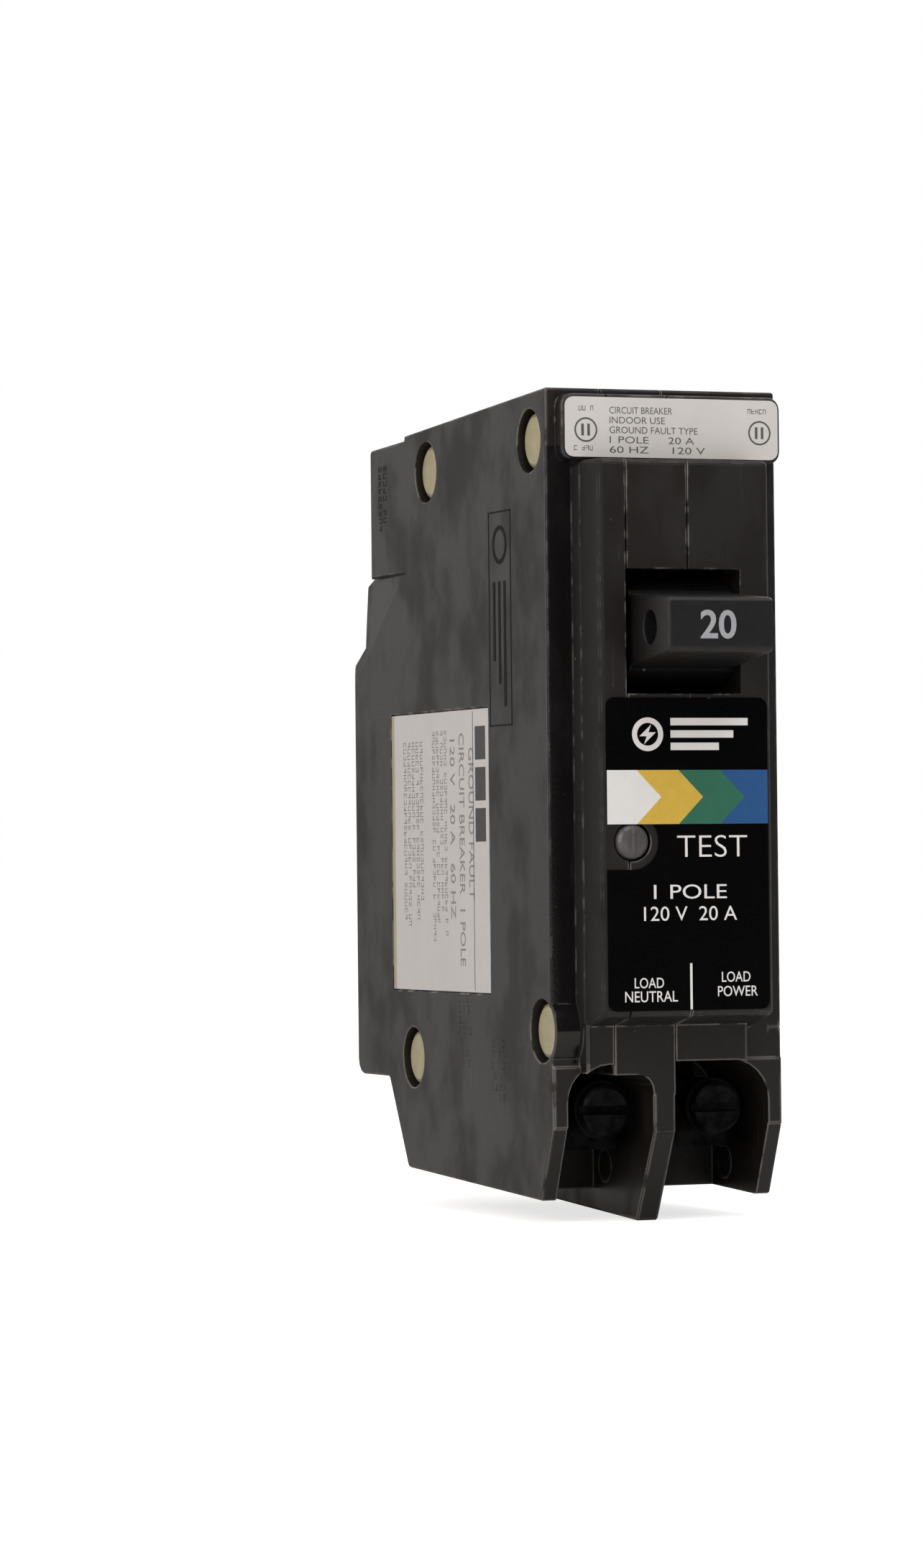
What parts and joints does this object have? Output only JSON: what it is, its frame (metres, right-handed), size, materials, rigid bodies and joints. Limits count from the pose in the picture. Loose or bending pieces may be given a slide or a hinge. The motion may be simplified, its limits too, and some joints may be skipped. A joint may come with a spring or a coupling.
{
  "type": "circuit breaker",
  "caption": "Single-pole plug-on ground-fault circuit breaker with a rocker handle, a test button, load and neutral screw terminals, and the switching, trip and sensing parts inside.",
  "frame": {"origin": "middle of the flat rear seat of the case, where a panel holds the breaker", "axes": "+X across the pole to the right seen from the front, +Y to the rear, +Z along the case from the load end to the line end"},
  "size_m": [0.0254, 0.0735, 0.0849],
  "materials": {
    "case_plastic": "moulded phenolic, warm dark grey, satin with fine grain and pale flash marks",
    "handle_plastic": "moulded black handle",
    "button_plastic": "grey moulded button",
    "rivet_plate": "pale yellow plated rivet, satin",
    "black_print": "black printed film",
    "white_print": "off-white printed label",
    "copper": "bare copper",
    "silver_contact": "silver contact alloy",
    "zinc_steel": "zinc plated steel",
    "black_steel": "black oxide steel",
    "spring_steel": "spring steel",
    "tin_plate": "tin plated",
    "fibre": "vulcanised fibre",
    "board_laminate": "green circuit board",
    "chip_epoxy": "moulded epoxy",
    "blue_coating": "coated ceramic disc",
    "yellow_film": "film capacitor",
    "ferrite": "ferrite"
  },
  "bodies": {
    "case": {"left_cover": "case_plastic", "centre_frame": "case_plastic", "right_base": "case_plastic", "rivet_top_front": "rivet_plate", "rivet_top_rear": "rivet_plate", "rivet_bottom_front": "rivet_plate", "rivet_bottom_rear": "rivet_plate", "front_label": "black_print", "top_label": "white_print", "side_label": "white_print", "handle_pin": "spring_steel", "arm_pin": "spring_steel", "line_jaw": "copper", "fixed_contact": "silver_contact", "jaw_spring": "spring_steel", "arc_chute": "fibre", "arc_plate_1": "zinc_steel", "arc_plate_2": "zinc_steel", "arc_plate_3": "zinc_steel", "cradle_pin": "spring_steel", "armature_spring": "spring_steel", "magnet_yoke": "zinc_steel", "bimetal": "tin_plate", "bimetal_bracket": "zinc_steel", "calibration_screw": "black_steel", "flexible_braid": "copper", "neutral_lug": "black_steel", "power_lug": "black_steel", "neutral_strap": "copper", "power_strap": "copper", "neutral_clip": "copper", "sensor_core": "ferrite", "sensor_winding": "copper", "phase_lead": "copper", "neutral_lead": "copper", "circuit_board": "board_laminate", "controller_chip": "chip_epoxy", "thyristor": "chip_epoxy", "filter_capacitor": "yellow_film", "surge_varistor": "blue_coating", "dropping_resistor": "fibre", "solenoid_frame": "zinc_steel", "solenoid_coil": "copper", "plunger_spring": "spring_steel", "test_contact": "copper"},
    "handle": {"handle": "handle_plastic"},
    "contact_arm": {"moving_arm": "copper", "moving_contact": "silver_contact", "toggle_spring": "spring_steel"},
    "cradle": {"cradle": "zinc_steel"},
    "armature": {"latch_armature": "zinc_steel"},
    "power_clamp": {"power_clamp": "zinc_steel"},
    "power_screw": {"power_screw": "black_steel"},
    "neutral_clamp": {"neutral_clamp": "zinc_steel"},
    "neutral_screw": {"neutral_screw": "black_steel"},
    "plunger": {"solenoid_plunger": "zinc_steel"},
    "test_button": {"test_button": "button_plastic", "test_spring": "spring_steel"}
  },
  "joints": [
    {"name": "handle_swing", "type": "hinge", "parent": "case", "child": "handle", "pos_m": [-0.00015, -0.0598, 0.0231], "axis": [1, 0, 0], "range_deg": [-22, 22]},
    {"name": "contact_arm_swing", "type": "hinge", "parent": "case", "child": "contact_arm", "pos_m": [0.0056, -0.0487, 0.0205], "axis": [1, 0, 0], "range_deg": [-8.1, 8.1]},
    {"name": "cradle_swing", "type": "hinge", "parent": "case", "child": "cradle", "pos_m": [0.0078, -0.0422, 0.008], "axis": [1, 0, 0], "range_deg": [0, 12]},
    {"name": "armature_pull", "type": "hinge", "parent": "case", "child": "armature", "pos_m": [0.0058, -0.0258, -0.007], "axis": [1, 0, 0], "range_deg": [-4, 0], "stiffness_Nm_per_rad": 0.02, "springref_deg": 1.15},
    {"name": "power_clamp_travel", "type": "slide", "parent": "case", "child": "power_clamp", "axis": [0, 1, 0], "range_m": [0, 0.0028]},
    {"name": "power_screw_turn", "type": "hinge", "parent": "power_clamp", "child": "power_screw", "pos_m": [0.0056, -0.0582, -0.0254], "axis": [0, 1, 0], "range_deg": [0, 1260]},
    {"name": "neutral_clamp_travel", "type": "slide", "parent": "case", "child": "neutral_clamp", "axis": [0, 1, 0], "range_m": [0, 0.0028]},
    {"name": "neutral_screw_turn", "type": "hinge", "parent": "neutral_clamp", "child": "neutral_screw", "pos_m": [-0.00675, -0.0582, -0.0254], "axis": [0, 1, 0], "range_deg": [0, 1260]},
    {"name": "plunger_pull", "type": "slide", "parent": "case", "child": "plunger", "axis": [0, 0, 1], "range_m": [-0.0015, 0], "stiffness_N_per_m": 120, "springref_m": 0.002, "deforming": ["plunger_spring"]},
    {"name": "test_press", "type": "slide", "parent": "case", "child": "test_button", "axis": [0, 1, 0], "range_m": [0, 0.0009], "stiffness_N_per_m": 400, "springref_m": -0.001}
  ],
  "couplings": [
    {"joint": "contact_arm_swing", "follows": "handle_swing", "ratio": -0.3636},
    {"joint": "power_screw_turn", "follows": "power_clamp_travel", "rad_per_m": 7853.9},
    {"joint": "neutral_screw_turn", "follows": "neutral_clamp_travel", "rad_per_m": 7853.9}
  ]
}
